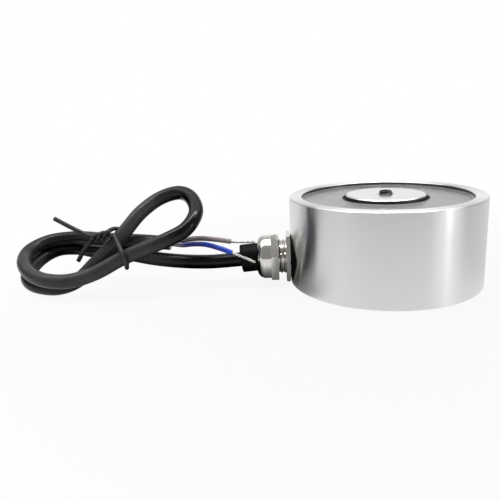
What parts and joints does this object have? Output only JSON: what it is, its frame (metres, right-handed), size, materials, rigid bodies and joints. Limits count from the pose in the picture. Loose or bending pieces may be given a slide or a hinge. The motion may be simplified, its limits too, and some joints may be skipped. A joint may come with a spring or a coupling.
{
  "type": "holding electromagnet",
  "caption": "Round steel pot electromagnet with a potted coil, flush pole core, threaded mounting hole in the back and a tied two-core lead from a side cable gland.",
  "frame": {"origin": "centre of the back face, on the axis of the mounting thread", "axes": "+Z along the pot's axis from the back face to the pole face, -X out along the cable gland"},
  "size_m": [0.1643, 0.065, 0.0345],
  "materials": {
    "pot_steel": "fine-turned and nickel plated, bright",
    "core_steel": "ground and plated face",
    "screw_steel": "blackened",
    "bobbin_plastic": "moulded",
    "copper_wire": "enamelled wire",
    "coil_tape": "polyester tape",
    "resin": "cast epoxy, satin",
    "shrink_sleeve": "shrunk polyolefin",
    "black_rubber": "matt",
    "plated_brass": "nickel plated, bright",
    "black_jacket": "satin PVC",
    "brown_insulation": "PVC",
    "blue_insulation": "PVC",
    "tinned_strands": "tinned copper strands",
    "tie_plastic": "plastic over a steel wire"
  },
  "bodies": {
    "root": {"pot_shell": "pot_steel", "pole_core": "core_steel", "core_set_screw": "screw_steel", "coil_bobbin": "bobbin_plastic", "coil_winding": "copper_wire", "coil_tape": "coil_tape", "potting_resin": "resin", "brown_inner_lead": "brown_insulation", "blue_inner_lead": "blue_insulation", "brown_joint": "shrink_sleeve", "blue_joint": "shrink_sleeve", "gland_gasket": "black_rubber", "gland_body": "plated_brass", "gland_seal": "black_rubber", "gland_dome_nut": "plated_brass", "cord_sleeve": "black_rubber", "lead_cord": "black_jacket", "brown_core": "brown_insulation", "blue_core": "blue_insulation", "brown_conductor": "tinned_strands", "blue_conductor": "tinned_strands", "cord_tie": "tie_plastic"}
  },
  "joints": []
}
